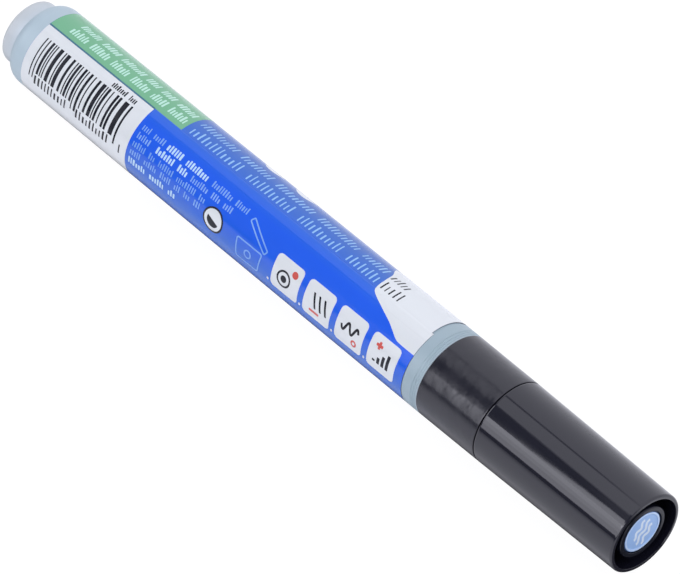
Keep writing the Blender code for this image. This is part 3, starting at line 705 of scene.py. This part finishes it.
dashShape = {"seed": 11, "vary": (0.75, 1.25), "rises": (0.0, 0.0, 0.22, 0.3), "round": 0.3, "roundFrom": 0.5,
             "space": 1.6}
dashPrints = {  # a dash's width, dashes in a word, and rows of along, around, gap and slant
    "print_band_dashes": {"ink": "mint", "layer": "band", "dash": 0.34, "words": (4, 9), "rows": (
        ((3.4, 30.6), (-1.85, -0.2), 0.22), ((3.8, 30.6), (-4.0, -2.5), 0.22, 0.2))},
    "print_large_dashes": {"ink": "large", "layer": "flat", "dash": 0.26, "words": (8, 16), "rows": (
        ((32.4, 75.4), (-1.5, 0.35), 0.62), ((32.4, 75.0), (-3.95, -2.3), 0.5, 0.3))},
    "print_pale_dashes": {"ink": "pale", "layer": "flat", "dash": 0.24, "words": (3, 9), "rows": (
        ((25.8, 31.2), (3.65, 4.75), 0.26), ((42.2, 50.7), (3.65, 4.75), 0.26),
        ((25.8, 29.6), (5.2, 6.3), 0.26), ((38.4, 48.3), (5.2, 6.3), 0.26),
        ((25.7, 42.6), (6.75, 7.85), 0.26), ((25.7, 42.2), (8.2, 9.3), 0.26))},
    "print_bright_dashes": {"ink": "bright", "layer": "flat", "dash": 0.36, "words": (4, 9), "rows": (
        ((31.6, 41.8), (3.6, 4.8), 0.22), ((30.2, 37.9), (5.15, 6.35), 0.22),
        ((25.7, 37.2), (9.85, 11.05), 0.22))},
    "print_dark_dashes": {"ink": "dark", "layer": "mark", "dash": 0.24, "words": (5, 5), "rows": (
        ((76.4, 80.5), (-1.5, 0.35), 0.66), ((76.2, 80.4), (-3.95, -2.3), 0.5, 0.3))},
}


def addDashes(bm, draw, dash, words, along, around, gap, slant=0.0):
    shape = dashShape
    x = along[0]
    while x < along[1]:
        for _ in range(draw.randint(*words)):
            width = dash * draw.uniform(*shape["vary"])
            if x + width > along[1]:
                return
            rise = draw.choice(shape["rises"]) * (around[1] - around[0])
            addBox(bm, (x, x + width), (around[0] + rise, around[1]),
                   corner=shape["round"] * min(width, shape["roundFrom"]), slant=-slant)
            x += width + gap
        x += shape["space"] * (dash + gap)


def makeRows():
    draw = random.Random(dashShape["seed"])
    for name, prints in dashPrints.items():
        bm = bmesh.new()
        for row in prints["rows"]:
            addDashes(bm, draw, prints["dash"], prints["words"], *row)
        layInk(name, bm, prints["ink"], prints["layer"])


barShape = {"seed": 4, "along": (1.75, 22.1), "around": (2.9, 9.0), "unit": 0.235,
            "widths": (1, 1, 2, 2, 3, 4), "gaps": (1, 1, 2, 2, 3),
            "longer": 1.1, "longerAt": (0.0, 0.5, 1.0), "longerHalf": 0.035,
            "rows": ((0.26, (5, 9), (16.4, 22.1), (1.5, 2.5), 0.16),
                     (0.34, (12, 12), (3.1, 11.0), (9.3, 11.0), 0.46),
                     (0.34, (12, 12), (13.0, 20.8), (9.3, 11.0), 0.46),
                     (0.34, (12, 12), (23.2, 23.9), (9.3, 11.0), 0.46))}  # dash, words, along, around, gap


def makeBars():
    shape = barShape
    draw = random.Random(shape["seed"])
    first, last = shape["along"]
    low, high = shape["around"]
    bm = bmesh.new()
    x = first
    while x < last:
        width = shape["unit"] * draw.choice(shape["widths"])
        place = (x - first) / (last - first)
        longer = min(abs(place - spot) for spot in shape["longerAt"]) < shape["longerHalf"]
        addBox(bm, (x, min(x + width, last)), (low, high + (shape["longer"] if longer else 0.0)))
        x += width + shape["unit"] * draw.choice(shape["gaps"])
    for row in shape["rows"]:
        addDashes(bm, draw, *row)
    layInk("print_bar_block", bm, "dark", "mark")


motifShape = {  # places from the middle of each square
    "ring": 1.5, "ringAt": (-0.4, 0.4), "line": 0.34, "spot": 0.62, "spotAt": (1.5, -1.5), "bar": 0.42,
    "strokes": (-1.2, 0.0, 1.2), "strokeAround": (-1.5, 1.1), "strokeRound": 0.12, "strokeSlant": 0.9,
    "dash": ((-1.5, 0.7), (1.55, 2.0)), "redRound": 0.15,
    "wave": 0.8, "waveFrom": (-1.9, -0.3), "waveParts": 32, "waveStep": 0.12, "waveTurn": 0.4,
    "loopAt": (1.3, 1.6), "loopHole": 0.28,
    "steps": 4, "stepAlong": (-1.8, -1.2), "stepAway": 0.95, "stepAround": (1.2, 1.6), "stepRise": 0.75,
    "stepRound": 0.1, "cross": (((-1.8, -0.4), (-1.7, -1.2)), ((-1.35, -0.85), (-2.1, -0.8))),
}


def addBoxAt(bm, middle, along, around, corner, slant=0.0):
    addBox(bm, [middle[0] + x for x in along], [middle[1] + y for y in around], corner, slant)


def addDiscAt(bm, middle, place, radius, hole=0.0):
    addDisc(bm, middle[0] + place[0], middle[1] + place[1], radius, hole)


def makeMotifs():
    shape = motifShape
    size, line, spot, half = fieldShape["squareSize"], shape["line"], shape["spot"], shape["bar"] / 2
    middle = sum(fieldShape["squareAround"]) / 2
    ring, strokes, wave, steps = ((along + size / 2, middle) for along in fieldShape["squares"])
    dark, red = bmesh.new(), bmesh.new()
    addDiscAt(dark, ring, shape["ringAt"], shape["ring"], hole=shape["ring"] - line)
    addDiscAt(dark, ring, shape["ringAt"], spot)
    addDiscAt(red, ring, shape["spotAt"], spot)
    for x in shape["strokes"]:
        addBoxAt(dark, strokes, (x - half, x + half), shape["strokeAround"], shape["strokeRound"],
                 shape["strokeSlant"])
    addBoxAt(red, strokes, *shape["dash"], shape["redRound"])
    left, up = shape["waveFrom"]
    addStroke(dark, [(wave[0] + left + shape["waveStep"] * k,
                      wave[1] + up + shape["wave"] * math.sin(shape["waveTurn"] * k))
                     for k in range(shape["waveParts"])], shape["bar"])
    addDiscAt(red, wave, shape["loopAt"], spot, hole=shape["loopHole"])
    for step in range(shape["steps"]):
        low, high = shape["stepAround"]
        addBoxAt(dark, steps, [x + shape["stepAway"] * step for x in shape["stepAlong"]],
                 (low - shape["stepRise"] * step, high), shape["stepRound"])
    for along, around in shape["cross"]:
        addBoxAt(red, steps, along, around, shape["redRound"])
    layInk("print_square_marks", dark, "dark", "mark")
    layInk("print_square_spots", red, "red", "mark")


signShape = {"ring": (45.25, 9.1), "ringRadius": 1.9, "outline": 0.32,
             "half": 1.3, "halfTurn": 20, "halfParts": 16,
             "frame": ((50.6, 56.5), (8.2, 12.0)), "frameTaper": 0.4, "frameRound": 0.5, "frameSpot": 0.8,
             "capsule": ((51.7, 4.5), (57.0, 7.7)), "capsuleHalf": 0.55, "capsuleRound": 0.3, "line": 0.24}


def addFrame(bm, spots, corner, line):
    face = addPatch(bm, spots)
    face = roundCorners(bm, face.verts[:], corner, inkShape["frameParts"])[0].link_faces[0]
    bmesh.ops.inset_region(bm, faces=[face], thickness=line, use_boundary=True, use_even_offset=True)
    bmesh.ops.delete(bm, geom=[face], context="FACES")


def makeSigns():
    shape = signShape
    along, around = shape["ring"]
    radius, half, line = shape["ringRadius"], shape["half"], shape["line"]
    bm = bmesh.new()
    addDisc(bm, along, around, radius)
    layInk("print_plain_ring", bm, "white", "flat")
    bm = bmesh.new()
    addDisc(bm, along, around, radius + shape["outline"], hole=radius)
    parts = shape["halfParts"]
    angles = [math.radians(shape["halfTurn"] + 180 * step / parts) for step in range(parts + 1)]
    addPatch(bm, [(along + half * math.cos(angle), around + half * math.sin(angle)) for angle in angles])
    layInk("print_ring_shade", bm, "dark", "shade")
    bm = bmesh.new()
    (left, right), (top, bottom) = shape["frame"]
    taper, spot = shape["frameTaper"], shape["frameSpot"]
    addFrame(bm, ((left, top), (right, top), (right - taper, bottom), (left + taper, bottom)),
             shape["frameRound"], line)
    addDisc(bm, (left + right) / 2, (top + bottom) / 2, spot, hole=spot - line)
    start, end = (Vector(spot) for spot in shape["capsule"])
    side = (end - start).normalized().orthogonal() * shape["capsuleHalf"]
    addFrame(bm, (start + side, end + side, end - side, start - side), shape["capsuleRound"], line)
    layInk("print_plain_frames", bm, "pale", "flat")


makeRows()
makeBars()
makeMotifs()
makeSigns()
print("label printed")

markShape = {"lift": 0.02, "reach": 2.7, "weight": 0.58, "strokes": ((-1.55, 0.8), (-0.28, 1.0), (1.0, 0.8)),
             "parts": 12, "sway": 0.32, "swayTurn": 0.5, "acrossTo": (-0.55, -0.65), "upTo": (-0.6, 0.75),
             "rim": (3.56, 3.30), "rimRound": 0.01, "rimParts": 2}


def makeDiscMark():
    shape = markShape
    parts, raised = shape["parts"], shape["lift"]
    bm = bmesh.new()
    for side, share in shape["strokes"]:  # place across the disc, share of the reach
        reach = shape["reach"] * share
        addStroke(bm, [(reach * (k / parts - 1), side + shape["sway"] * math.sin(shape["swayTurn"] * k))
                       for k in range(2 * parts + 1)], shape["weight"])
    thicken(bm, raised, 2 * raised)
    for vert in bm.verts:  # stood up on the disc and turned
        across, up, lift = vert.co
        vert.co = Vector((discX - discShape["dish"] + lift,
                          across * shape["acrossTo"][0] + up * shape["upTo"][0],
                          axisHeight + up * shape["upTo"][1] + across * shape["acrossTo"][1])) * mm
    bmesh.ops.recalc_face_normals(bm, faces=bm.faces)
    finishPiece("disc_mark", bm, "mark", "cap", "disc_plastic")
    outer, inner = shape["rim"]
    rows = [(discX - raised, inner, 0), (discX + raised, inner, shape["rimRound"]),
            (discX + raised, outer, shape["rimRound"]), (discX - raised, outer, 0)]
    # painted highlight: the raised rim ring is coloured pale
    finishPiece("disc_rim", turn(rows, innerSteps, shape["rimParts"]), "discRim", "cap", "disc_plastic")


makeDiscMark()
print("disc marked")

stageShape = {"floor": 6.0, "drop": 0.0001, "floorColor": (0.80, 0.80, 0.82), "floorGlow": 0.31,
              "shadeFrom": 0.005, "shadeTo": 0.009, "shade": 0.1, "diffuseShare": 0.72,
              "dimFrom": -0.05, "dimTo": -0.2, "dim": 0.5, "roughness": 0.9,
              "backdrop": 1.06, "backdropShare": 0.86}


def makePaper():
    shape = stageShape
    paper = bpy.data.materials.new("floorPaper")
    paper.use_nodes = True
    tree = paper.node_tree
    outward = addNode(tree, "SeparateXYZ", {"Vector": objectPlace(tree)}).outputs["Y"]
    path = addNode(tree, "LightPath", {}).outputs
    # painted shadow on the floor, for reflections and bounced light only: a dark strip under the pen, and
    # dimmer far out on the near side
    shade = addNode(tree, "MapRange", {"Value": addMath(tree, "ABSOLUTE", outward),
                                       "From Min": shape["shadeFrom"], "From Max": shape["shadeTo"],
                                       "To Min": shape["shade"]})  # dim where the pen keeps the light off
    dim = addNode(tree, "MapRange", {"Value": outward, "From Min": shape["dimTo"],
                                     "From Max": shape["dimFrom"],
                                     "To Min": shape["dim"]})  # dimmer far out on the near side
    thrown = addNode(tree, "MapRange", {"Value": path["Is Diffuse Ray"], "To Min": 1.0,
                                        "To Max": shape["diffuseShare"]})  # less soft light than it mirrors
    both = addMath(tree, "MULTIPLY", shade.outputs["Result"], dim.outputs["Result"])
    whole = addMath(tree, "MULTIPLY", both, thrown.outputs["Result"])
    lit = addMath(tree, "MAXIMUM", whole, path["Is Camera Ray"])  # the camera sees no dim strip
    color = addNode(tree, "Mix", {"Factor": lit, "A": (0.0, 0.0, 0.0, 1.0), "B": (*shape["floorColor"], 1.0)},
                    data_type="RGBA").outputs["Result"]
    shader = tree.nodes["Principled BSDF"]
    shader.inputs["Roughness"].default_value = shape["roughness"]
    shader.inputs["Specular IOR Level"].default_value = 0.0
    shader.inputs["Emission Strength"].default_value = shape["floorGlow"]
    tree.links.new(color, shader.inputs["Base Color"])
    tree.links.new(color, shader.inputs["Emission Color"])
    white = addNode(tree, "Emission", {"Strength": shape["backdrop"]})  # seen straight on, nearly washed out
    share = addMath(tree, "MULTIPLY", path["Is Camera Ray"], shape["backdropShare"])
    washed = addNode(tree, "MixShader", {0: share, 1: shader.outputs["BSDF"], 2: white.outputs["Emission"]})
    tree.links.new(washed.outputs["Shader"], tree.nodes["Material Output"].inputs["Surface"])
    return paper


def makeFloor():
    bm = bmesh.new()
    bmesh.ops.create_grid(bm, x_segments=1, y_segments=1, size=stageShape["floor"])
    bmesh.ops.translate(bm, vec=(0, 0, -stageShape["drop"]), verts=bm.verts)
    mesh = bpy.data.meshes.new("floor")
    bm.to_mesh(mesh)
    bm.free()
    mesh.materials.append(makePaper())
    floor = bpy.data.objects.new("floor", mesh)
    bpy.context.scene.collection.objects.link(floor)


# panels stand round the pen's axis: span in degrees from straight up towards the near side, away and
# along in m, lean in degrees; glossTo lengthens a panel for reflections only
panels = {
    "frontUpper": {"span": (36, 50), "away": 0.8, "along": (-0.339, 0.35), "glow": 2.7, "lean": -10.0,
                   "glossTo": 1.0},
    "frontBrow": {"span": (19.5, 36), "away": 0.8, "along": (-0.328, 0.2), "glow": 0.25},
    "frontMiddle": {"span": (50, 60), "away": 0.8, "along": (-0.413, 0.8), "glow": 3.2, "glossTo": 1.0},
    "frontLower": {"span": (60, 69), "away": 0.8, "along": (-0.413, 0.15), "glow": 2.7, "glossTo": 1.0},
    "frontFoot": {"span": (69, 81), "away": 0.8, "along": (-0.413, 0.15), "glow": 2.2, "glossTo": 1.0},
    "rearGloss": {"span": (18, 75), "away": 0.8, "along": (-0.65, -0.65), "glow": 2.8, "glossTo": -1.4},
    "topNear": {"span": (-12.4, 16.5), "away": 1.0, "along": (-0.522, 1.6), "glow": 1.06},
    "topTrim": {"span": (16.5, 18.0), "away": 1.0, "along": (-0.463, -0.463), "glow": 0.5, "glossTo": -0.2},
    "topTrimEnd": {"span": (16.5, 20.5), "away": 1.0, "along": (-0.45, -0.45), "glow": 0.55, "glossTo": -0.2},
    "topRear": {"span": (-13.2, 7.5), "away": 1.0, "along": (-2.0, -0.522), "glow": 0.54},
    "topJoin": {"span": (-16.8, -12.4), "away": 1.0, "along": (-0.4245, 1.6), "glow": 0.9},
    "topThin": {"span": (-16.8, -12.4), "away": 1.0, "along": (-3.0, -0.4245), "glow": 0.25},
    "topFar": {"span": (-95, -16.8), "away": 1.0, "along": (-3.0, 3.0), "glow": 0.98},
}
endFill = {"away": 1.0, "rise": 9.0, "around": 31.0, "size": 0.5, "glow": 3.2}  # lights the cap's end
lampColor = (0.97, 0.97, 1.07)


def addLamp(name, place, turned, size, glow):
    lamp = bpy.data.lights.new(name, "AREA")
    lamp.shape = "RECTANGLE"
    lamp.size, lamp.size_y = size
    lamp.color = lampColor
    lamp.energy = glow * math.pi * size[0] * size[1]
    light = bpy.data.objects.new(name, lamp)
    light.location = place
    light.rotation_euler = turned.to_euler()
    bpy.context.scene.collection.objects.link(light)
    return light


def addPanel(name, panel, start, end):
    low, high = (math.radians(angle) for angle in panel["span"])
    width = 2 * panel["away"] * math.tan((high - low) / 2)
    length = abs(end - start)
    middle = (low + high) / 2
    side = Vector((0, -math.sin(middle), math.cos(middle)))
    turned = side.to_track_quat("Z", "Y") @ Quaternion((0, 0, 1), math.radians(panel.get("lean", 0)))
    lengthways = turned @ Vector((1, 0, 0))
    lengthways *= math.copysign(length / 2, lengthways.x) * math.copysign(1, end - start)
    place = side * panel["away"] + Vector((start, 0, axisHeight * mm)) + lengthways
    return addLamp(name, place, turned, (length, width), panel["glow"])


def makePanels():
    for name, panel in panels.items():
        start, end = panel["along"]
        if end > start:
            addPanel(name, panel, start, end)
        if "glossTo" in panel:
            gloss = addPanel(name + "Gloss", panel, end, panel["glossTo"])
            gloss.visible_diffuse = False
    rise, around = math.radians(endFill["rise"]), math.radians(endFill["around"])
    toLamp = Vector((math.cos(rise), -math.sin(rise) * math.sin(around), math.sin(rise) * math.cos(around)))
    place = Vector((capEndX, 0, axisHeight)) * mm + toLamp * endFill["away"]
    size = endFill["size"]
    fill = addLamp("endFill", place, toLamp.to_track_quat("Z", "Y"), (size, size), endFill["glow"])
    fill.visible_glossy = False


worldShape = {"room": (0.9, 0.95, 1.0), "roomGlow": 0.16, "wall": (0.93, 0.94, 0.95)}


def makeWorld():
    world = bpy.data.worlds.new("studio")
    bpy.context.scene.world = world
    world.use_nodes = True
    tree = world.node_tree
    room = tree.nodes["Background"]
    room.inputs["Color"].default_value = (*worldShape["room"], 1.0)
    room.inputs["Strength"].default_value = worldShape["roomGlow"]
    wall = addNode(tree, "Background", {"Color": (*worldShape["wall"], 1.0)})  # seen past the floor
    path = addNode(tree, "LightPath", {})
    seen = addNode(tree, "MixShader", {0: path.outputs["Is Camera Ray"], 1: room.outputs["Background"],
                                       2: wall.outputs["Background"]})
    tree.links.new(seen.outputs["Shader"], tree.nodes["World Output"].inputs["Surface"])


viewShape = {"azimuth": 47.672, "elevation": 48.084, "lens": 484.39, "sensor": 36.0,
             "place": (0.701585, -0.636636, 1.060132)}


def makeCamera():
    shape = viewShape
    camera = bpy.data.cameras.new("camera")
    camera.sensor_fit = "HORIZONTAL"
    camera.sensor_width = shape["sensor"]
    camera.lens = shape["lens"]
    viewer = bpy.data.objects.new("camera", camera)
    viewer.location = shape["place"]
    viewer.rotation_euler = (math.radians(90 - shape["elevation"]), 0, math.radians(shape["azimuth"]))
    bpy.context.scene.collection.objects.link(viewer)
    bpy.context.scene.camera = viewer


makeFloor()
makePanels()
makeWorld()
makeCamera()
bpy.context.scene.view_settings.view_transform = "Standard"
print("stage, lights and camera set")
